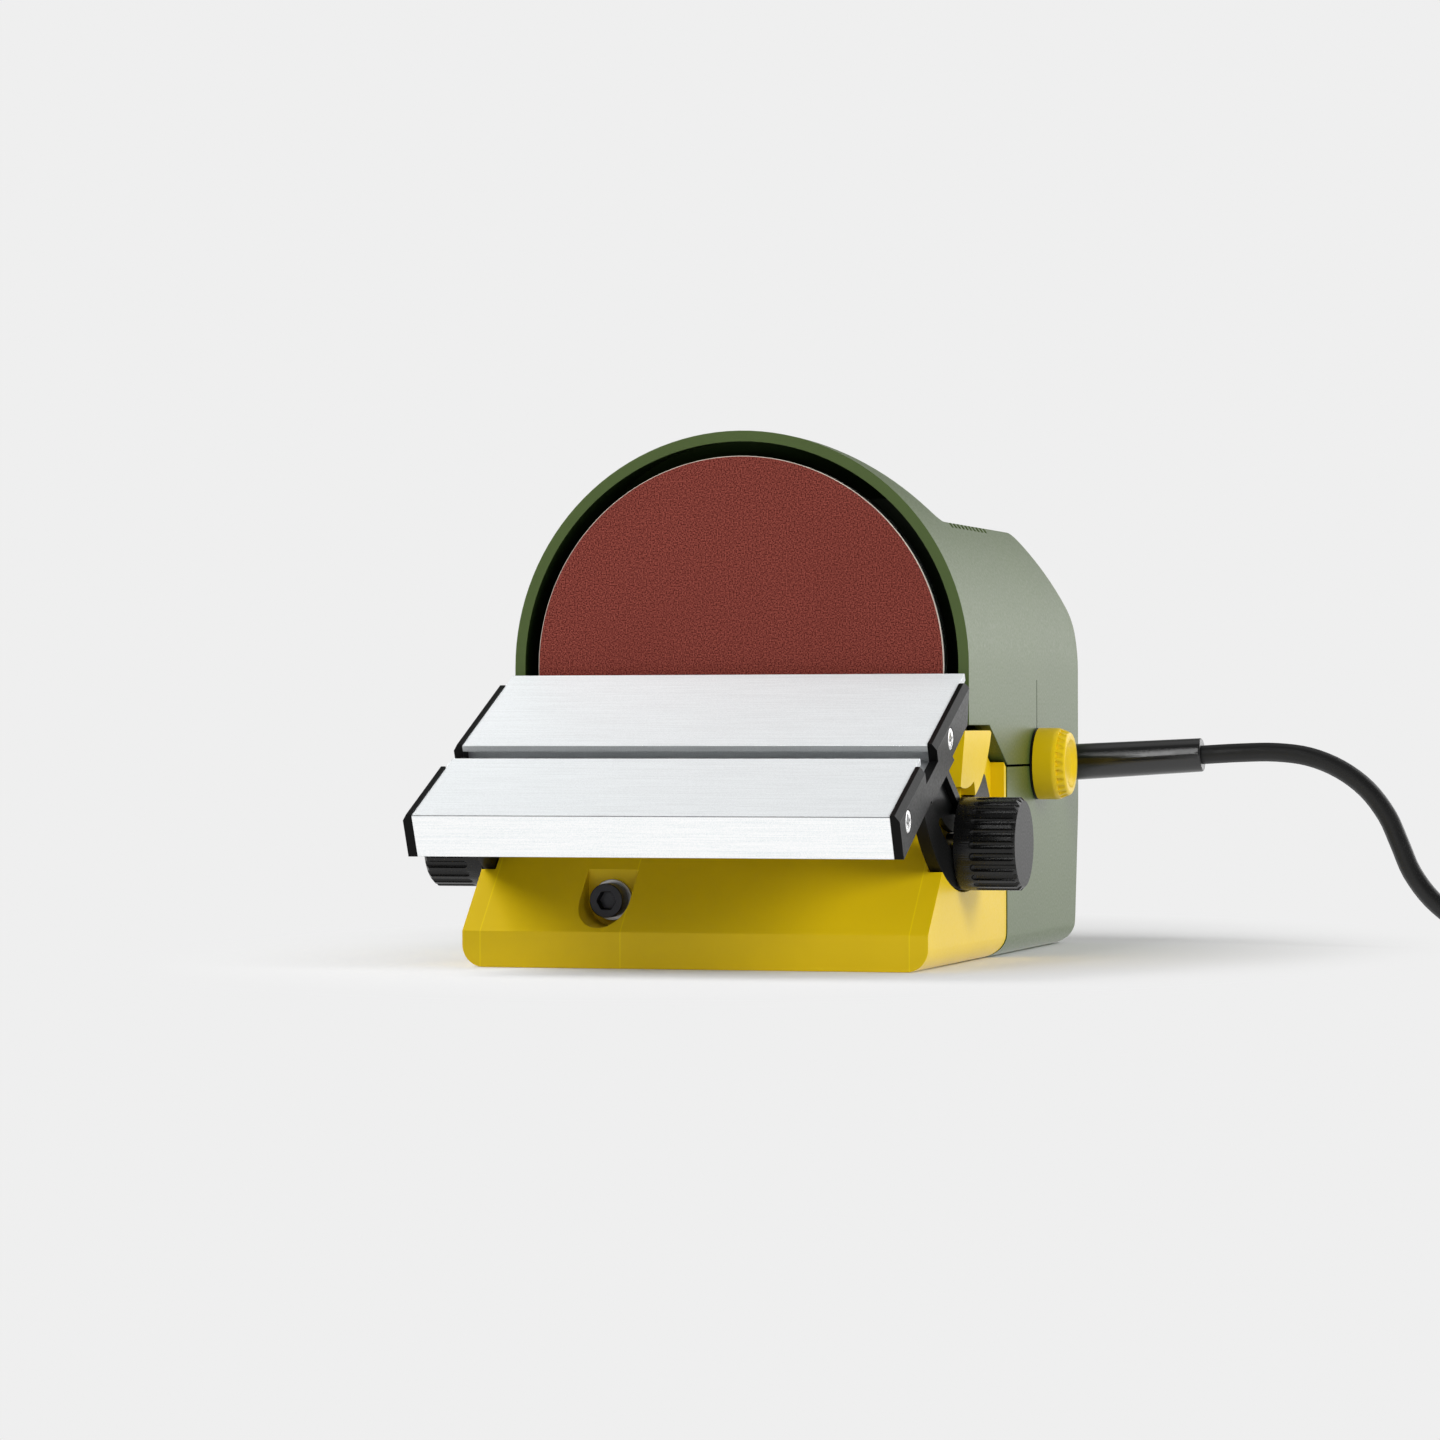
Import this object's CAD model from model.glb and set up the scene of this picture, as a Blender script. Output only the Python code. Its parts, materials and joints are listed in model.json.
"""Looks of a benchtop disc sander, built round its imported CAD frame."""

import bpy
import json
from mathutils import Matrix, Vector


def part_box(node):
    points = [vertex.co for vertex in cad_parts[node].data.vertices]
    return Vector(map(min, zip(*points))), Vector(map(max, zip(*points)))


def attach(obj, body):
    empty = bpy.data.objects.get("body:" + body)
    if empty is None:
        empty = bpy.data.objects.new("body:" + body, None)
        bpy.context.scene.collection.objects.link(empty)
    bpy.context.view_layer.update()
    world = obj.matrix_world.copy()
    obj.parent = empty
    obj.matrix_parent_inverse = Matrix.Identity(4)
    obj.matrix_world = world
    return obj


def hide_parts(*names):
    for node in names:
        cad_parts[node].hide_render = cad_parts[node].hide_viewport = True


bl_info = {
    "name": "Benchtop disc sander",
    "version": (1, 0, 0),
    "blender": (4, 5, 0),
    "location": "View3D > Sidebar > Sander",
    "description": "Finishes, mouldings, cord and stage of a benchtop disc sander",
    "category": "Add Mesh",
}

import json
import math

import bpy
from mathutils import Matrix, Vector

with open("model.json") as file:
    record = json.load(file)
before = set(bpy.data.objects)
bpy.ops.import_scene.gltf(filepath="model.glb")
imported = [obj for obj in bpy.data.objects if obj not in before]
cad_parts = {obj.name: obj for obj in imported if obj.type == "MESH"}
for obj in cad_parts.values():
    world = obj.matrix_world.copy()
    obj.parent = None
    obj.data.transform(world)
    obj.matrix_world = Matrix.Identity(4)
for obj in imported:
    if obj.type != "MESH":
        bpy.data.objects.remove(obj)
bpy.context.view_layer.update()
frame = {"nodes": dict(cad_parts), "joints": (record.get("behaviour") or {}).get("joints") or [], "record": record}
MM = 0.001
BODY_OF = {n: b for b, ns in frame["record"]["behaviour"]["bodies"].items() for n in ns}
SHEET_LOW, SHEET_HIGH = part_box("sanding_sheet")
SPINDLE_Z = (SHEET_LOW.z + SHEET_HIGH.z) / 2
SHEET_R = (SHEET_HIGH.x - SHEET_LOW.x) / 2
SHEET_SIDES = 160
SHEET_EDGE = 0.18 * MM

# Reaches run forward from the table's tilt axis and drops run down, with the table level.
TABLE_PIVOT = Vector(next(j["pos_m"] for j in frame["joints"] if j["name"] == "table_tilt"))
TABLE_TILT = math.radians(24.3)
TABLE_L = 98 * MM
SLOT_REACH = (46 * MM, 64 * MM)
SLOT_DROP = 0.3 * MM
EDGE_REACH = 0.9 * TABLE_L
EDGE_DROP = 1 * MM
SCREW_REACH = (34 * MM, 89 * MM)
SCREW_DROP = 5.6 * MM
CROSS_SIZE = (2.6 * MM, 3.9 * MM, 0.85 * MM)
CROSS_TURNS = (20, 110)

# Shares of a face's normal along a direction: square to it, turned towards it, turned away from it,
# and the turns of a rounded edge.
FLAT = 0.97
TOWARDS = 0.8
AWAY = 0.3
EDGE_TURN = (0.2, 0.98)

# Guard ring and slit of the hood.
RING_LIP = 1.2 * MM
RING_WALL = 2.4 * MM
CHAMBER_BACK = 18.4 * MM
SLIT_HALF = 0.3 * MM
SLIT_DEPTH = 1.2 * MM

# Lines that the mould's inserts leave on the base.
INSERT_SIDE = 64.2 * MM
INSERT_MIDDLE = -21.6 * MM
INSERT_LINE = 0.16 * MM
INSERT_END = -9 * MM

MERGE_WITHIN = 0.002 * MM
PLANE_WITHIN = math.radians(0.4)
SMOOTH_WITHIN = math.radians(40)

# Camera, backdrop and floor.
FRAME_PX = 1440
FOCAL_PX = 4770.7
SENSOR_MM = 36
EYE_AT = (0.39145, -1.35956, SPINDLE_Z - 0.01757)
EYE_YAW, EYE_PITCH, EYE_ROLL = (math.radians(a) for a in (16.287, -0.069, -0.096))
BACKDROP = (0.863, 0.863, 0.863, 1)
BACKDROP_LIGHT = 0.16
WHITE = (1, 1, 1, 1)
FLOOR_GREY = (0.80, 0.80, 0.80, 1)
FLOOR_R = 6
FLOOR_DROP = 0.1 * MM
FLOOR_FADE = (0.12, 0.30)

# Name, watts, width and height, place, aim, and whether reflections show it.
LAMPS = (
    ("right_box", 16.0, (0.6, 0.7), (1.3, -0.66, 0.72), (0, 0, 0.06), False),
    ("back_box", 16.0, (1.2, 2.0), (1.0, 1.5, 0.6), (0, 0.05, 0.08), True),
    ("front_box", 3.6, (0.10, 1.3), (-0.2, -1.35, 0.95), (0, -0.02, 0.06), True),
    ("left_box", 2.9, (0.3, 0.3), (-0.4, -0.08, 0.48), (0, -0.03, 0.06), False),
    ("top_box", 1.6, (1.2, 1.2), (0.1, 0.4, 1.8), (0, 0, 0.05), True),
)

# Sockets of a Mix node that mixes colours.
MIX_FACTOR, MIX_FIRST, MIX_SECOND, MIX_RESULT = 0, 6, 7, 2


class SanderFinish(bpy.types.PropertyGroup):
    """Colours of the mouldings, the abrasive and the metals."""

    green: bpy.props.FloatVectorProperty(
        name="Housing green", description="Moulded green of the housings", size=3,
        subtype="COLOR", default=(0.062, 0.096, 0.023), min=0, max=1)
    yellow: bpy.props.FloatVectorProperty(
        name="Base yellow", description="Moulded yellow of the base and the dial", size=3,
        subtype="COLOR", default=(0.78, 0.545, 0.004), min=0, max=1)
    black: bpy.props.FloatVectorProperty(
        name="Black plastic", description="Moulded black of brackets and knobs", size=3,
        subtype="COLOR", default=(0.005, 0.005, 0.005), min=0, max=1)
    chamber: bpy.props.FloatVectorProperty(
        name="Chamber black", description="Dark inside of the disc's guard", size=3,
        subtype="COLOR", default=(0.007, 0.013, 0.003), min=0, max=1)
    abrasive: bpy.props.FloatVectorProperty(
        name="Abrasive", description="Red-brown of the abrasive grain", size=3,
        subtype="COLOR", default=(0.192, 0.034, 0.023), min=0, max=1)
    paper: bpy.props.FloatVectorProperty(
        name="Paper edge", description="Pale cut edge of the abrasive sheet", size=3,
        subtype="COLOR", default=(0.62, 0.56, 0.48), min=0, max=1)
    alloy: bpy.props.FloatVectorProperty(
        name="Aluminium", description="Anodised aluminium of the table", size=3,
        subtype="COLOR", default=(0.75, 0.778, 0.79), min=0, max=1)
    steel: bpy.props.FloatVectorProperty(
        name="Steel", description="Plain steel", size=3,
        subtype="COLOR", default=(0.50, 0.50, 0.51), min=0, max=1)
    rubber: bpy.props.FloatVectorProperty(
        name="Cord black", description="Rubber of the cord and its sleeve", size=3,
        subtype="COLOR", default=(0.005, 0.005, 0.005), min=0, max=1)


class SanderSizes(bpy.types.PropertyGroup):
    """Sizes of what is added to the solids."""

    edge: bpy.props.FloatProperty(
        name="Edge radius", description="Rounding of moulded edges", default=0.45 * MM,
        min=0.1 * MM, max=1.0 * MM, unit="LENGTH")
    cord_d: bpy.props.FloatProperty(
        name="Cord diameter", description="Outer diameter of the mains cord", default=6.2 * MM,
        min=5 * MM, max=8 * MM, unit="LENGTH")
    coil_turns: bpy.props.FloatProperty(
        name="Coil turns", description="Turns to the place where the winding reverses",
        default=3.875, min=2, max=5)
    coil_pitch: bpy.props.FloatProperty(
        name="Coil pitch", description="Step from one turn to the next", default=6.7 * MM,
        min=6.4 * MM, max=8 * MM, unit="LENGTH")


def finish():
    """Colours chosen in the panel."""
    return bpy.context.scene.sander_finish


def sizes():
    """Sizes chosen in the panel."""
    return bpy.context.scene.sander_sizes


def only(obj):
    """Selects one object and makes it active."""
    bpy.ops.object.select_all(action="DESELECT")
    obj.select_set(True)
    bpy.context.view_layer.objects.active = obj
    return obj


def add_node(tree, kind, values=None, **settings):
    """A new node with its settings, and constants on its sockets."""
    node = tree.nodes.new(kind)
    for key, value in settings.items():
        setattr(node, key, value)
    for key, value in (values or {}).items():
        node.inputs[key].default_value = value
    return node


def map_range(tree, low, high, to_low, to_high, **settings):
    """A node that turns the range from low to high into that from to_low to to_high."""
    values = {"From Min": low, "From Max": high, "To Min": to_low, "To Max": to_high}
    return add_node(tree, "ShaderNodeMapRange", values, **settings)


class Shader:
    """A node material with one Principled shader, and short calls that wire it."""

    def __init__(self, name, colour, roughness, metallic, specular=0.5):
        self.material = bpy.data.materials.new(name)
        self.material.use_nodes = True
        self.tree = self.material.node_tree
        self.shader = self.tree.nodes["Principled BSDF"]
        self.shader.inputs["Base Color"].default_value = (*colour, 1)
        self.shader.inputs["Roughness"].default_value = roughness
        self.shader.inputs["Metallic"].default_value = metallic
        self.shader.inputs["Specular IOR Level"].default_value = specular
        self.coords = self.add("ShaderNodeTexCoord").outputs["Object"]

    def add(self, kind, values=None, **settings):
        return add_node(self.tree, kind, values, **settings)

    def link(self, out, to):
        self.tree.links.new(out, to)

    def noise(self, scale, detail, stretch=(1, 1, 1)):
        mapping = self.add("ShaderNodeMapping", {"Scale": stretch})
        self.link(self.coords, mapping.inputs["Vector"])
        node = self.add("ShaderNodeTexNoise", {"Scale": scale, "Detail": detail})
        self.link(mapping.outputs["Vector"], node.inputs["Vector"])
        return node.outputs["Fac"]

    def ramp(self, value, low, high, to_low, to_high):
        node = map_range(self.tree, low, high, to_low, to_high)
        self.link(value, node.inputs["Value"])
        return node.outputs["Result"]

    def tint(self, value, first, second):
        """Colour that goes from first to second as value goes from 0 to 1."""
        values = {MIX_FIRST: (*first, 1), MIX_SECOND: (*second, 1)}
        node = self.add("ShaderNodeMix", values, data_type="RGBA")
        self.link(value, node.inputs[MIX_FACTOR])
        return node.outputs[MIX_RESULT]

    def over(self, value, below, colour):
        """Colour laid over another one where value is 1."""
        node = self.add("ShaderNodeMix", {MIX_SECOND: (*colour, 1)}, data_type="RGBA")
        self.link(below, node.inputs[MIX_FIRST])
        self.link(value, node.inputs[MIX_FACTOR])
        return node.outputs[MIX_RESULT]

    def maths(self, operation, *values):
        node = self.add("ShaderNodeMath", operation=operation)
        for socket, value in zip(node.inputs, values):
            if isinstance(value, (int, float)):
                socket.default_value = value
            else:
                self.link(value, socket)
        return node.outputs[0]

    def axes(self):
        node = self.add("ShaderNodeSeparateXYZ")
        self.link(self.coords, node.inputs["Vector"])
        return node.outputs

    def bump(self, height, strength, distance):
        node = self.add("ShaderNodeBump", {"Strength": strength, "Distance": distance})
        self.link(height, node.inputs["Height"])
        self.link(node.outputs["Normal"], self.shader.inputs["Normal"])

    def colour(self, out):
        self.link(out, self.shader.inputs["Base Color"])

    def roughness(self, out):
        self.link(out, self.shader.inputs["Roughness"])


def shade(colour, factor):
    """A colour made lighter or darker."""
    return tuple(min(1.0, c * factor) for c in colour)


def moulded(name, colour, roughness, grain, depth, specular=0.32):
    """Moulded plastic with a fine spark-eroded grain and slight clouding."""
    s = Shader(name, colour, roughness, 0.0, specular)
    clouds = s.noise(28, 3)
    fine = s.noise(grain, 2)
    s.colour(s.tint(clouds, shade(colour, 0.93), shade(colour, 1.07)))
    s.roughness(s.ramp(fine, 0.3, 0.7, roughness - 0.05, roughness + 0.06))
    s.bump(fine, depth, 0.12 * MM)
    return s


def yellow_base(name, colour):
    """Yellow moulding with the fine lines that the mould's inserts leave."""
    s = moulded(name, colour, 0.40, 1400, 0.06, 0.22)
    x, y, _ = s.axes()
    side = s.maths("ABSOLUTE", s.maths("SUBTRACT", s.maths("ABSOLUTE", x), INSERT_SIDE))
    middle = s.maths("ABSOLUTE", s.maths("SUBTRACT", x, INSERT_MIDDLE))
    nearest = s.maths("MINIMUM", side, middle)
    line = s.maths("LESS_THAN", nearest, INSERT_LINE)
    front = s.maths("LESS_THAN", y, INSERT_END)
    mark = s.maths("MULTIPLY", s.maths("MULTIPLY", line, front), 0.5)
    base = s.shader.inputs["Base Color"].links[0].from_socket
    s.colour(s.over(mark, base, shade(colour, 1.45)))
    return s


def abrasive_grain(name, colour):
    """Closed coat of red-brown grain on paper."""
    s = Shader(name, colour, 0.7, 0.0, 0.12)
    grain = s.noise(2400, 1)
    coarse = s.noise(620, 2)
    clouds = s.noise(22, 3)
    spots = s.ramp(grain, 0.36, 0.64, 0, 1)
    fine = s.tint(spots, shade(colour, 0.35), tuple(1.55 * c + 0.016 for c in colour))
    dim = s.ramp(clouds, 0.3, 0.75, 0.0, 0.22)
    s.colour(s.over(dim, fine, shade(colour, 0.62)))
    s.bump(s.maths("ADD", grain, coarse), 0.3, 0.15 * MM)
    return s


def brushed_alloy(name, colour, roughness, metallic=0.3):
    """Satin anodised aluminium with drawing lines along the extrusion."""
    s = Shader(name, colour, roughness, metallic)
    lines = s.noise(2300, 3, (0.02, 1, 1))
    fine = s.noise(2600, 1)
    drawn = s.ramp(s.maths("ADD", lines, fine), 0.75, 1.25, 0, 1)
    s.colour(s.tint(drawn, shade(colour, 0.90), shade(colour, 1.05)))
    s.roughness(s.ramp(lines, 0.3, 0.7, roughness - 0.05, roughness + 0.06))
    s.bump(s.maths("ADD", lines, s.maths("MULTIPLY", fine, 0.5)), 0.06, 0.05 * MM)
    return s


def plain_metal(name, colour, roughness):
    """Turned or plated metal with faint scuffs."""
    s = Shader(name, colour, roughness, 1.0)
    scuffs = s.noise(260, 4)
    s.colour(s.tint(scuffs, shade(colour, 0.85), shade(colour, 1.12)))
    s.roughness(s.ramp(scuffs, 0.25, 0.75, roughness - 0.07, roughness + 0.1))
    s.bump(s.noise(1500, 2), 0.06, 0.05 * MM)
    return s


def soft_rubber(name, colour, roughness, specular=0.4):
    """Black rubber with a slight bloom."""
    s = Shader(name, colour, roughness, 0.0, specular)
    bloom = s.noise(90, 4)
    s.colour(s.tint(bloom, shade(colour, 0.8), shade(colour, 1.35)))
    s.roughness(s.ramp(bloom, 0.3, 0.7, roughness - 0.06, roughness + 0.1))
    s.bump(s.noise(1100, 3), 0.08, 0.1 * MM)
    return s


_materials = {}


def material(name):
    """The finish with that name, made once."""
    if name not in _materials:
        f = finish()
        makers = {
            "housing_green": lambda: moulded(name, f.green, 0.38, 1300, 0.07, 0.34),
            "base_yellow": lambda: yellow_base(name, f.yellow),
            "dial_yellow": lambda: moulded(name, f.yellow, 0.36, 900, 0.10),
            "knob_black": lambda: moulded(name, f.black, 0.25, 1500, 0.03, 0.3),
            "black_plastic": lambda: moulded(name, f.black, 0.34, 1500, 0.06, 0.075),
            "chamber_black": lambda: moulded(name, f.chamber, 0.35, 900, 0.04, 0.1),
            "abrasive": lambda: abrasive_grain(name, f.abrasive),
            "paper_edge": lambda: moulded(name, f.paper, 0.8, 1800, 0.05),
            "table_alloy": lambda: brushed_alloy(name, f.alloy, 0.5, 0.08),
            "bright_alloy": lambda: brushed_alloy(name, shade(f.alloy, 1.27), 0.3, 1.0),
            "slot_alloy": lambda: brushed_alloy(name, shade(f.alloy, 0.75), 0.5),
            "edge_alloy": lambda: brushed_alloy(name, shade(f.alloy, 0.3), 0.5),
            "disc_alloy": lambda: plain_metal(name, f.alloy, 0.3),
            "bare_steel": lambda: plain_metal(name, f.steel, 0.34),
            "dark_steel": lambda: plain_metal(name, (0.035, 0.035, 0.038), 0.34),
            "zinc": lambda: plain_metal(name, (0.80, 0.80, 0.80), 0.25),
            "brass": lambda: plain_metal(name, (0.62, 0.40, 0.14), 0.3),
            "copper": lambda: plain_metal(name, (0.55, 0.20, 0.08), 0.35),
            "sinter": lambda: plain_metal(name, (0.04, 0.04, 0.045), 0.5),
            "board": lambda: moulded(name, (0.03, 0.12, 0.05), 0.45, 700, 0.05),
            "cord_rubber": lambda: soft_rubber(name, f.rubber, 0.42),
            "sleeve_rubber": lambda: soft_rubber(name, f.rubber, 0.19, 0.7),
        }
        _materials[name] = makers[name]().material
    return _materials[name]


def dress(node, name, finish_name, slot, edge=None, angle=32, steps=2):
    """A copy of a solid with merged faces and rounded edges, which stands for the solid."""
    source = frame["nodes"][node]
    obj = source.copy()
    obj.data = source.data.copy()
    obj.name = obj.data.name = name
    for key in [k for k in obj.keys() if k.startswith("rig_")]:
        del obj[key]
    obj.parent = None
    bpy.context.scene.collection.objects.link(obj)
    only(obj)
    bpy.ops.object.mode_set(mode="EDIT")
    bpy.ops.mesh.select_all(action="SELECT")
    bpy.ops.mesh.remove_doubles(threshold=MERGE_WITHIN)
    bpy.ops.mesh.dissolve_limited(angle_limit=PLANE_WITHIN)
    bpy.ops.object.mode_set(mode="OBJECT")
    rounding = obj.modifiers.new("edges", "BEVEL")
    rounding.width = sizes().edge if edge is None else edge
    rounding.segments = steps
    rounding.limit_method = "ANGLE"
    rounding.angle_limit = math.radians(angle)
    rounding.use_clamp_overlap = True
    rounding.miter_outer = "MITER_ARC"
    bpy.ops.object.modifier_apply(modifier=rounding.name)
    soften(obj)
    paint(obj, finish_name)
    return seat(obj, BODY_OF[node], slot, node)


def soften(obj):
    """Smooth shading over gentle edges, with flat faces kept flat."""
    only(obj)
    bpy.ops.object.shade_smooth_by_angle(angle=SMOOTH_WITHIN)
    weights = obj.modifiers.new("normals", "WEIGHTED_NORMAL")
    weights.keep_sharp = True
    weights.weight = 100
    bpy.ops.object.modifier_apply(modifier=weights.name)


def paint(obj, *names):
    """Gives an object its finishes, the first on every face."""
    obj.data.materials.clear()
    for n in names:
        obj.data.materials.append(material(n))


def paint_where(obj, index, test):
    """Gives the faces whose centre passes the test another of the object's finishes."""
    for p in obj.data.polygons:
        if test(p.center, p.normal):
            p.material_index = index


def seat(obj, body, slot, *nodes):
    """Ties a piece to its body, its material slot and the solids that it stands for."""
    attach(obj, body)
    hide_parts(*nodes)
    return obj


def place_applied(obj):
    """Puts an object's place, turn and scale into its mesh."""
    only(obj)
    bpy.ops.object.transform_apply(location=True, rotation=True, scale=True)
    return obj


def smooth_line(points):
    """Points of a smooth line through the given ones."""
    out = []
    last = len(points) - 1
    for i in range(last):
        p0, p1, p2, p3 = (Vector(points[max(0, min(last, k))]) for k in range(i - 1, i + 3))
        for j in range(LINE_STEPS):
            t = j / LINE_STEPS
            out.append(0.5 * (2 * p1 + (p2 - p0) * t
                              + (2 * p0 - 5 * p1 + 4 * p2 - p3) * t * t
                              + (3 * p1 - p0 - 3 * p2 + p3) * t ** 3))
    out.append(Vector(points[-1]))
    return out


# Points of the cord per step of a route and per turn of the coil, and the turns in which it
# climbs to the coil's upper layer.
LINE_STEPS = 4
COIL_STEPS = 48
CLIMB_TURNS = 0.5

LEAD_SHARES = (
    (0, 1), (0.097, 1.012), (0.183, 1.014), (0.264, 0.989), (0.339, 0.92), (0.404, 0.81),
    (0.453, 0.664), (0.484, 0.507), (0.514, 0.347), (0.563, 0.198), (0.627, 0.085),
    (0.702, 0.016), (0.783, 0), (0.892, 0), (1, 0),
)
TAIL_SHARES = (
    (-0.974, -0.307, 0.19), (-0.891, -0.457, 0.53), (-0.758, -0.651, 0.87),
    (-0.582, -0.814, 1.08), (-0.408, -0.901, 1.13), (-0.21, -0.933, 1.13),
    (-0.012, -0.901, 1.13), (0.154, -0.822, 1.19), (0.277, -0.711, 1.32), (0.402, -0.56, 1.55),
)
PLUG_SHARES = (0.531, -0.41, 1.66)
PLUG_TURN = math.radians(49.5)
SLEEVE_END = Vector((115.5, 128, 60.5)) * MM
COIL_AT = Vector((250, 178.5, 4.3)) * MM
COIL_R = 50.5 * MM


def lead_line():
    """Route from the sleeve's end down to the bench and to the coil."""
    reach = COIL_AT.x - sizes().cord_d - SLEEVE_END.x
    drop = SLEEVE_END.z - COIL_AT.z
    return [Vector((SLEEVE_END.x + x * reach, SLEEVE_END.y, COIL_AT.z + z * drop))
            for x, z in LEAD_SHARES]


def tail_line():
    """Route from the coil's upper layer over the coil to the plug."""
    d = sizes().cord_d
    above = COIL_AT + Vector((0, 0, sizes().coil_pitch))

    def over_coil(share):
        return above + Vector((share[0] * COIL_R, share[1] * COIL_R, share[2] * d))

    start = above + Vector((-COIL_R, -d, 0))
    end = over_coil(PLUG_SHARES)
    back = Vector((math.cos(PLUG_TURN), math.sin(PLUG_TURN), 0)) * d / 2
    return [start, start - Vector((0, d / 2, 0)), *map(over_coil, TAIL_SHARES), end - back, end]


def coil_point(t):
    """Point of the coil after t turns."""
    turns, pitch = sizes().coil_turns, sizes().coil_pitch
    a = math.radians(-90 + 360 * t)
    r = COIL_R - pitch * (turns - abs(turns - t))
    climb = min(1.0, max(0.0, (t - turns) / CLIMB_TURNS + 0.5))
    return COIL_AT + Vector((r * math.cos(a), r * math.sin(a), pitch * climb))


class SANDER_OT_stage(bpy.types.Operator):
    """Camera, lamps, pale floor and surroundings"""

    bl_idname = "sander.stage"
    bl_label = "Stage"

    def execute(self, context):
        scene = context.scene
        scene.view_settings.view_transform = "Standard"
        camera = bpy.data.cameras.new("camera")
        camera.sensor_width = SENSOR_MM
        camera.lens = SENSOR_MM * FOCAL_PX / FRAME_PX
        camera.clip_start, camera.clip_end = 0.05, 50
        eye = bpy.data.objects.new("camera", camera)
        scene.collection.objects.link(eye)
        level = math.cos(EYE_PITCH)
        forward = Vector((
            -math.sin(EYE_YAW) * level, math.cos(EYE_YAW) * level, -math.sin(EYE_PITCH)))
        side = Vector((math.cos(EYE_YAW), math.sin(EYE_YAW), 0))
        top = side.cross(forward)
        right = side * math.cos(EYE_ROLL) + top * math.sin(EYE_ROLL)
        up = top * math.cos(EYE_ROLL) - side * math.sin(EYE_ROLL)
        turn = Matrix((right, up, -forward)).transposed().to_4x4()
        eye.matrix_world = Matrix.Translation(EYE_AT) @ turn
        scene.camera = eye
        self.lamps(scene)
        self.surroundings(scene)
        self.floor()
        return {"FINISHED"}

    def lamps(self, scene):
        for name, power, (width, height), at, aim, mirrored in LAMPS:
            lamp = bpy.data.lights.new(name, "AREA")
            lamp.shape = "RECTANGLE"
            lamp.energy, lamp.size, lamp.size_y = power, width, height
            obj = bpy.data.objects.new(name, lamp)
            obj.location = at
            obj.visible_camera = False
            obj.visible_glossy = mirrored
            obj.rotation_euler = (Vector(aim) - Vector(at)).to_track_quat("-Z", "Y").to_euler()
            scene.collection.objects.link(obj)

    def surroundings(self, scene):
        """Pale backdrop, dim as a light, and darker where reflections look to the front or up."""
        world = bpy.data.worlds.new("surroundings")
        scene.world = world
        world.use_nodes = True
        tree = world.node_tree
        link = tree.links.new
        tree.nodes.clear()
        out = add_node(tree, "ShaderNodeOutputWorld")
        lit = add_node(tree, "ShaderNodeBackground", {"Color": WHITE, "Strength": BACKDROP_LIGHT})
        seen = add_node(tree, "ShaderNodeBackground", {"Color": BACKDROP, "Strength": 1.0})
        path = add_node(tree, "ShaderNodeLightPath")
        coords = add_node(tree, "ShaderNodeTexCoord")
        axes = add_node(tree, "ShaderNodeSeparateXYZ")
        front = map_range(tree, -0.7, 0.1, 0.25, 1.0, interpolation_type="SMOOTHSTEP")
        above = map_range(tree, 0.05, 0.45, 1.0, 0.12, interpolation_type="SMOOTHSTEP")
        both = add_node(tree, "ShaderNodeMath", operation="MULTIPLY")
        mirrored = add_node(tree, "ShaderNodeMath", operation="MULTIPLY")
        mix = add_node(tree, "ShaderNodeMixShader")
        link(coords.outputs["Generated"], axes.inputs["Vector"])
        link(axes.outputs["Y"], front.inputs["Value"])
        link(axes.outputs["Z"], above.inputs["Value"])
        link(front.outputs["Result"], both.inputs[0])
        link(above.outputs["Result"], both.inputs[1])
        link(path.outputs["Is Glossy Ray"], mirrored.inputs[0])
        link(both.outputs[0], mirrored.inputs[1])
        share = mirrored.outputs[0]
        for ray in ("Is Camera Ray", "Is Transmission Ray"):
            either = add_node(tree, "ShaderNodeMath", operation="MAXIMUM")
            link(share, either.inputs[0])
            link(path.outputs[ray], either.inputs[1])
            share = either.outputs[0]
        link(share, mix.inputs[0])
        link(lit.outputs[0], mix.inputs[1])
        link(seen.outputs[0], mix.inputs[2])
        link(mix.outputs[0], out.inputs["Surface"])

    def floor(self):
        """Pale floor that takes the shadow near the sander and fades into the backdrop."""
        bpy.ops.mesh.primitive_circle_add(
            vertices=96, radius=FLOOR_R, fill_type="NGON", location=(0, 0, -FLOOR_DROP))
        floor = bpy.context.object
        floor.name = "floor"
        place_applied(floor)
        mat = bpy.data.materials.new("floor")
        mat.use_nodes = True
        tree = mat.node_tree
        link = tree.links.new
        tree.nodes.clear()
        out = add_node(tree, "ShaderNodeOutputMaterial")
        matt = add_node(tree, "ShaderNodeBsdfDiffuse", {"Color": FLOOR_GREY})
        glow = add_node(tree, "ShaderNodeEmission", {"Color": BACKDROP, "Strength": 1.0})
        white = add_node(tree, "ShaderNodeEmission", {"Color": WHITE, "Strength": 1.0})
        coords = add_node(tree, "ShaderNodeTexCoord")
        mapping = add_node(
            tree, "ShaderNodeMapping", {"Location": (0, -0.09, 0), "Scale": (1.5, 1, 1)})
        length = add_node(tree, "ShaderNodeVectorMath", operation="LENGTH")
        fade = map_range(tree, *FLOOR_FADE, 0.0, 1.0, interpolation_type="SMOOTHSTEP")
        path = add_node(tree, "ShaderNodeLightPath")
        mix = add_node(tree, "ShaderNodeMixShader")
        mirrored = add_node(tree, "ShaderNodeMixShader")
        link(coords.outputs["Object"], mapping.inputs["Vector"])
        link(mapping.outputs["Vector"], length.inputs[0])
        link(length.outputs["Value"], fade.inputs["Value"])
        link(fade.outputs["Result"], mix.inputs[0])
        link(matt.outputs[0], mix.inputs[1])
        link(glow.outputs[0], mix.inputs[2])
        link(path.outputs["Is Glossy Ray"], mirrored.inputs[0])
        link(mix.outputs[0], mirrored.inputs[1])
        link(white.outputs[0], mirrored.inputs[2])
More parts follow.
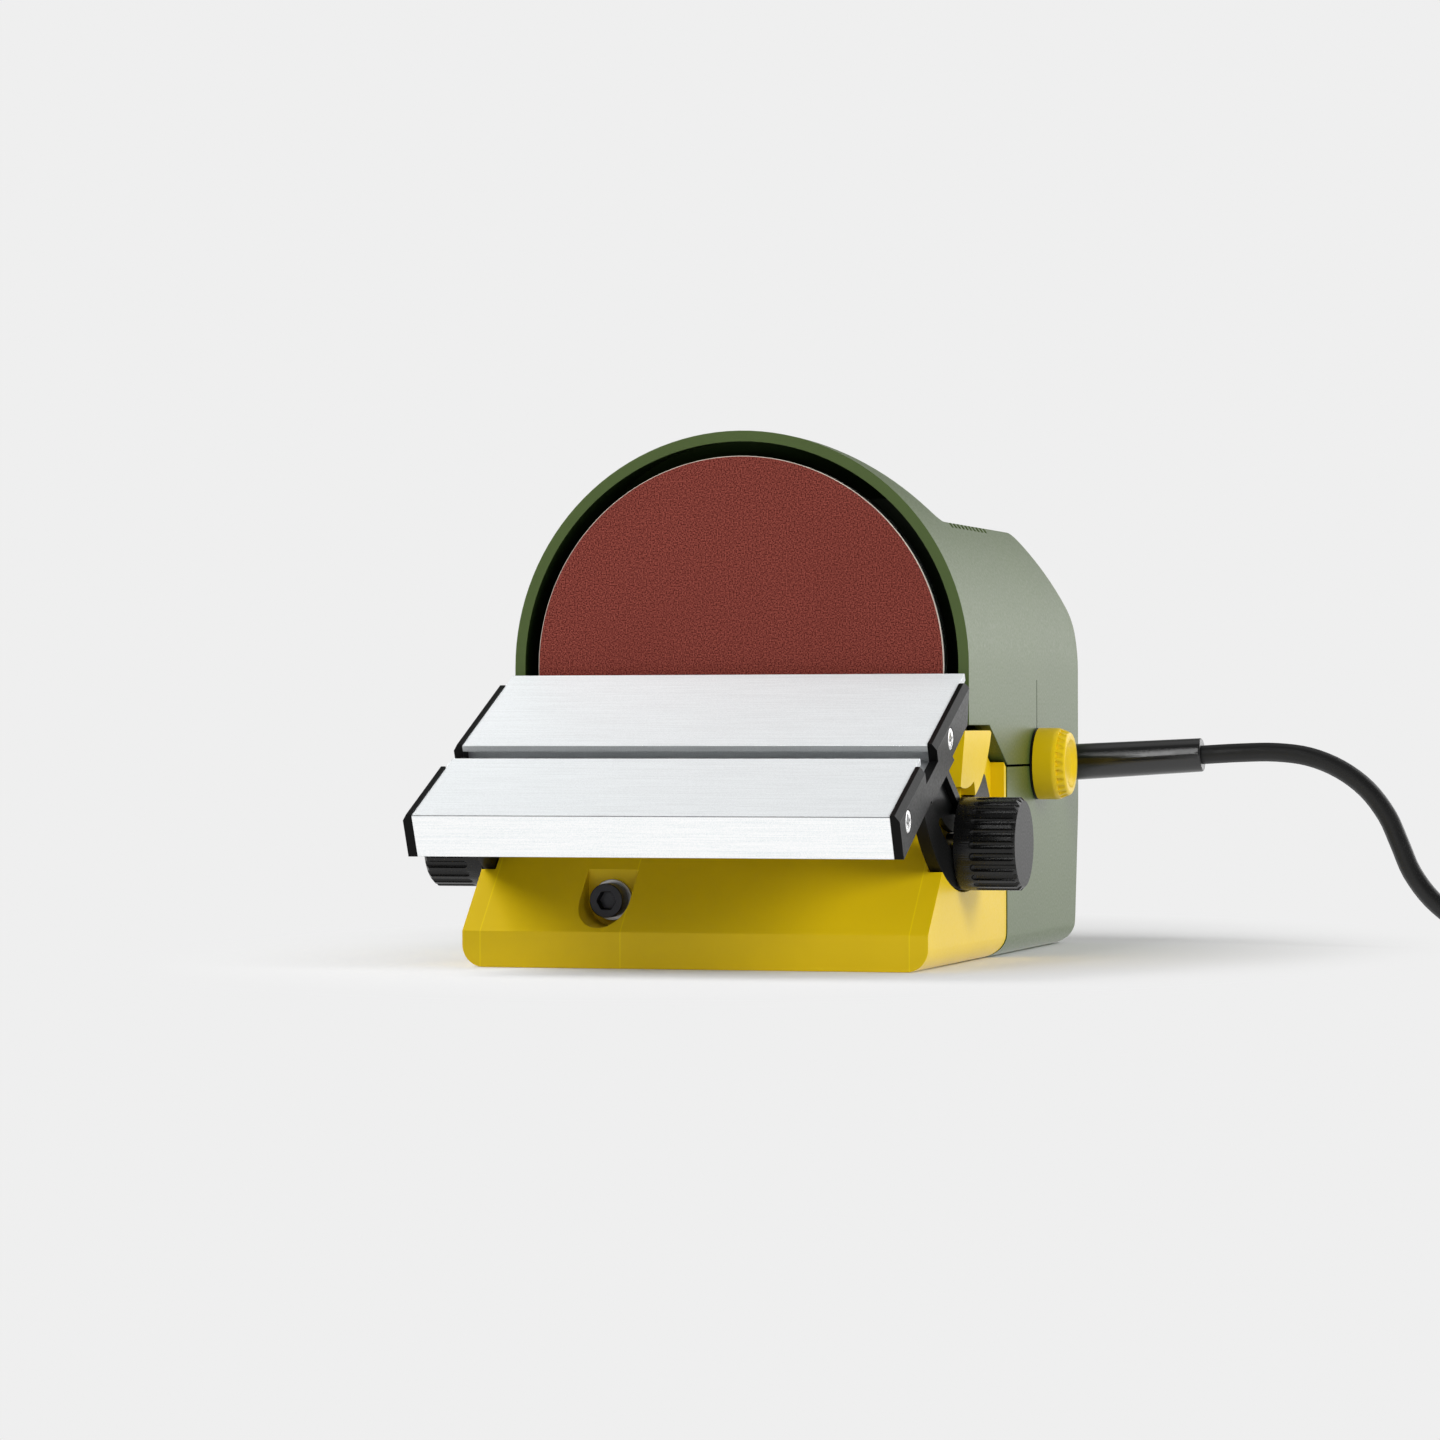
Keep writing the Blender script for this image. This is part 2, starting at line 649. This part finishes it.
        link(mirrored.outputs[0], out.inputs["Surface"])
        floor.data.materials.append(mat)


class SANDER_OT_cord(bpy.types.Operator):
    """Mains cord with its sleeve, coil, tie and plug"""

    bl_idname = "sander.cord"
    bl_label = "Cord"

    def execute(self, context):
        turns = sizes().coil_turns
        count = round(2 * turns * COIL_STEPS)
        coil = [coil_point(2 * turns * i / count) for i in range(count + 1)]
        line = smooth_line(lead_line()) + coil + smooth_line(tail_line())
        curve = bpy.data.curves.new("mains_cord", "CURVE")
        curve.dimensions = "3D"
        curve.bevel_depth = sizes().cord_d / 2
        curve.bevel_resolution = 3
        curve.use_fill_caps = True
        spline = curve.splines.new("POLY")
        spline.points.add(len(line) - 1)
        for point, at in zip(spline.points, line):
            point.co = (*at, 1)
        spline.use_smooth = True
        cord = bpy.data.objects.new("mains_cord", curve)
        context.scene.collection.objects.link(cord)
        curve.materials.append(material("cord_rubber"))
        seat(cord, "frame", "cord", "cord_lead", "cord_coil", "cord_tail")
        plug = dress("plug_body", "plug_moulding", "black_plastic", "black", 0.8 * MM, 40, 3)
        pins = dress("plug_pins", "plug_contacts", "brass", "brass", 0.5 * MM, 40, 3)
        tie = dress("cord_tie", "cord_strap", "black_plastic", "black", 0.25 * MM)
        dress("cord_sleeve", "strain_sleeve", "sleeve_rubber", "cord", 0.6 * MM, 40, 3)
        return {"FINISHED"}


class SANDER_OT_housing(bpy.types.Operator):
    """Green hood and tray, with the dark chamber round the disc"""

    bl_idname = "sander.housing"
    bl_label = "Housing"

    def execute(self, context):
        hood = dress("upper_housing", "hood_moulding", "housing_green", "green")
        paint(hood, "housing_green", "chamber_black")
        low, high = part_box("upper_housing")
        ring = high.x
        dial_y = sum(corner.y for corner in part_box("speed_dial")) / 2

        def inside(at, normal):
            out = Vector((at.x, 0, at.z - SPINDLE_Z))
            from_middle = out.length if at.z > SPINDLE_Z else abs(at.x)
            in_chamber = low.y + RING_LIP < at.y < CHAMBER_BACK and from_middle < ring - RING_WALL
            return in_chamber and normal.y < AWAY and normal.dot(out) < AWAY * out.length

        def in_slit(at, normal):
            in_side = abs(at.x) > ring - SLIT_DEPTH and at.z < SPINDLE_Z
            return in_side and abs(at.y - dial_y) < SLIT_HALF

        paint_where(hood, 1, inside)
        paint_where(hood, 1, in_slit)
        dress("lower_housing", "tray_moulding", "housing_green", "green")
        return {"FINISHED"}


class SANDER_OT_base(bpy.types.Operator):
    """Yellow base"""

    bl_idname = "sander.base"
    bl_label = "Base"

    def execute(self, context):
        dress("base", "base_moulding", "base_yellow", "yellow")
        return {"FINISHED"}


class SANDER_OT_disc(bpy.types.Operator):
    """Abrasive sheet with its pale cut edge, on the backing disc"""

    bl_idname = "sander.disc"
    bl_label = "Disc"

    def execute(self, context):
        bpy.ops.mesh.primitive_cylinder_add(
            vertices=SHEET_SIDES, radius=SHEET_R, depth=SHEET_HIGH.y - SHEET_LOW.y,
            end_fill_type="NGON", location=(0, (SHEET_LOW.y + SHEET_HIGH.y) / 2, SPINDLE_Z),
            rotation=(math.radians(90), 0, 0))
        sheet = context.object
        sheet.name = "abrasive_sheet"
        place_applied(sheet)
        rounding = sheet.modifiers.new("edges", "BEVEL")
        rounding.width = SHEET_EDGE
        rounding.segments = 2
        rounding.limit_method = "ANGLE"
        bpy.ops.object.modifier_apply(modifier=rounding.name)
        soften(sheet)
        paint(sheet, "abrasive", "paper_edge")
        paint_where(sheet, 1, lambda at, normal: normal.y > -FLAT)
        seat(sheet, "spindle", "abrasive", "sanding_sheet")
        dress("backing_disc", "disc_plate", "disc_alloy", "alloy", 0.25 * MM)
        return {"FINISHED"}


class SANDER_OT_table(bpy.types.Operator):
    """Aluminium table with its slot"""

    bl_idname = "sander.table"
    bl_label = "Table"

    def execute(self, context):
        table = dress("table_top", "table_extrusion", "table_alloy", "alloy", 0.2 * MM)
        paint(table, "table_alloy", "bright_alloy", "slot_alloy", "edge_alloy")
        level = Matrix.Rotation(-TABLE_TILT, 4, "X")

        def front_face(at, normal):
            return normal.y < -TOWARDS

        def in_slot(at, normal):
            place = level @ (at - TABLE_PIVOT)
            return place.z < -SLOT_DROP and SLOT_REACH[0] < -place.y < SLOT_REACH[1]

        def front_edge(at, normal):
            place = level @ (at - TABLE_PIVOT)
            turned = level @ normal
            at_edge = -place.y > EDGE_REACH and place.z > -EDGE_DROP
            return at_edge and EDGE_TURN[0] < turned.z < EDGE_TURN[1]

        paint_where(table, 1, front_face)
        paint_where(table, 2, in_slot)
        paint_where(table, 3, front_edge)
        return {"FINISHED"}


class SANDER_OT_brackets(bpy.types.Operator):
    """Black end brackets with their quadrant arms, and their screws"""

    bl_idname = "sander.brackets"
    bl_label = "Brackets"

    def execute(self, context):
        dress("right_bracket", "right_quadrant", "black_plastic", "black", 0.35 * MM)
        dress("left_bracket", "left_quadrant", "black_plastic", "black", 0.35 * MM)
        screws = dress("bracket_screws", "end_screws", "zinc", "zinc", 0.5 * MM, 32, 3)
        self.cross(screws)
        return {"FINISHED"}

    def cross(self, screws):
        """Cuts a cross into the four heads."""
        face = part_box("bracket_screws")[1].x
        tilt = Matrix.Rotation(TABLE_TILT, 4, "X")
        cutters = []
        for side in (-1, 1):
            for reach in SCREW_REACH:
                at = TABLE_PIVOT + tilt @ Vector((0, -reach, -SCREW_DROP))
                for turn in CROSS_TURNS:
                    bpy.ops.mesh.primitive_cube_add(
                        size=1, location=(side * face, at.y, at.z),
                        rotation=(math.radians(turn), 0, 0), scale=CROSS_SIZE)
                    cutters.append(place_applied(bpy.context.object))
        bpy.ops.object.select_all(action="DESELECT")
        for c in cutters:
            c.select_set(True)
        bpy.context.view_layer.objects.active = cutters[0]
        bpy.ops.object.join()
        cutter = bpy.context.object
        only(screws)
        cut = screws.modifiers.new("cross", "BOOLEAN")
        cut.object = cutter
        cut.operation = "DIFFERENCE"
        cut.solver = "EXACT"
        cut.use_self = True
        bpy.ops.object.modifier_apply(modifier=cut.name)
        bpy.data.objects.remove(cutter)
        soften(screws)


class SANDER_OT_knobs(bpy.types.Operator):
    """Clamp knobs and their washers"""

    bl_idname = "sander.knobs"
    bl_label = "Clamp knobs"

    def execute(self, context):
        for side in ("right", "left"):
            grip = dress(f"{side}_knob", f"{side}_grip", "knob_black", "black", 0.3 * MM)
            paint(grip, "knob_black", "black_plastic")
            paint_where(grip, 1, lambda at, normal: abs(normal.x) > FLAT)
            dress(f"{side}_washer", f"{side}_seat_ring", "bare_steel", "steel", 0.15 * MM)
        return {"FINISHED"}


class SANDER_OT_dial(bpy.types.Operator):
    """Yellow speed dial on its black collar"""

    bl_idname = "sander.dial"
    bl_label = "Speed dial"

    def execute(self, context):
        dress("speed_dial", "dial_crown", "dial_yellow", "yellow", 0.25 * MM)
        dress("dial_collar", "dial_ring", "black_plastic", "black", 0.2 * MM)
        return {"FINISHED"}


class SANDER_OT_front_screw(bpy.types.Operator):
    """Socket-head screw and washer in the pocket of the base"""

    bl_idname = "sander.front_screw"
    bl_label = "Front screw"

    def execute(self, context):
        dress("front_screw", "socket_screw", "dark_steel", "steel", 0.3 * MM)
        dress("front_washer", "socket_washer", "bare_steel", "steel", 0.2 * MM)
        return {"FINISHED"}


class SANDER_OT_inside(bpy.types.Operator):
    """Finishes of the motor, the board and the other pieces that stay as solids"""

    bl_idname = "sander.inside"
    bl_label = "Inner pieces"

    finishes = {
        "bare_steel": (
            "housing_screws", "motor_can", "motor_screws", "motor_shaft", "armature_core",
            "front_bearing_outer", "front_bearing_inner", "front_bearing_balls",
            "rear_bearing_outer", "rear_bearing_inner", "rear_bearing_balls", "disc_set_screw",
            "right_stud", "left_stud", "dial_shaft", "cord_clamp_screws"),
        "disc_alloy": ("motor_front_plate", "motor_rear_plate"),
        "copper": ("armature_windings", "commutator"),
        "brass": ("clamp_inserts", "brush_holders"),
        "sinter": ("motor_magnets", "carbon_brushes"),
        "board": ("control_board",),
        "black_plastic": ("speed_control", "cooling_fan", "cord_clamp", "dust_duct"),
        "cord_rubber": ("cord_inner", "rubber_feet"),
    }

    def execute(self, context):
        for name, nodes in self.finishes.items():
            for node in nodes:
                paint(frame["nodes"][node], name)
        return {"FINISHED"}


class SANDER_PT_panel(bpy.types.Panel):
    """Lists the sander's colours, sizes and pieces"""

    bl_idname = "SANDER_PT_panel"
    bl_label = "Disc sander"
    bl_space_type = "VIEW_3D"
    bl_region_type = "UI"
    bl_category = "Sander"

    def draw(self, context):
        for group in (context.scene.sander_finish, context.scene.sander_sizes):
            for key in group.__annotations__:
                self.layout.prop(group, key)
        for operator in PIECES:
            self.layout.operator(operator.bl_idname)


PIECES = (
    SANDER_OT_stage, SANDER_OT_cord, SANDER_OT_housing, SANDER_OT_base, SANDER_OT_disc,
    SANDER_OT_table, SANDER_OT_brackets, SANDER_OT_knobs, SANDER_OT_dial, SANDER_OT_front_screw,
    SANDER_OT_inside,
)
CLASSES = (SanderFinish, SanderSizes, *PIECES, SANDER_PT_panel)


def register():
    for c in CLASSES:
        bpy.utils.register_class(c)
    bpy.types.Scene.sander_finish = bpy.props.PointerProperty(type=SanderFinish)
    bpy.types.Scene.sander_sizes = bpy.props.PointerProperty(type=SanderSizes)


def unregister():
    del bpy.types.Scene.sander_sizes
    del bpy.types.Scene.sander_finish
    for c in reversed(CLASSES):
        bpy.utils.unregister_class(c)


def main():
    register()
    for operator in PIECES:
        group, name = operator.bl_idname.split(".")
        getattr(getattr(bpy.ops, group), name)()
    bpy.context.view_layer.update()


if __name__ == "__main__":
    main()
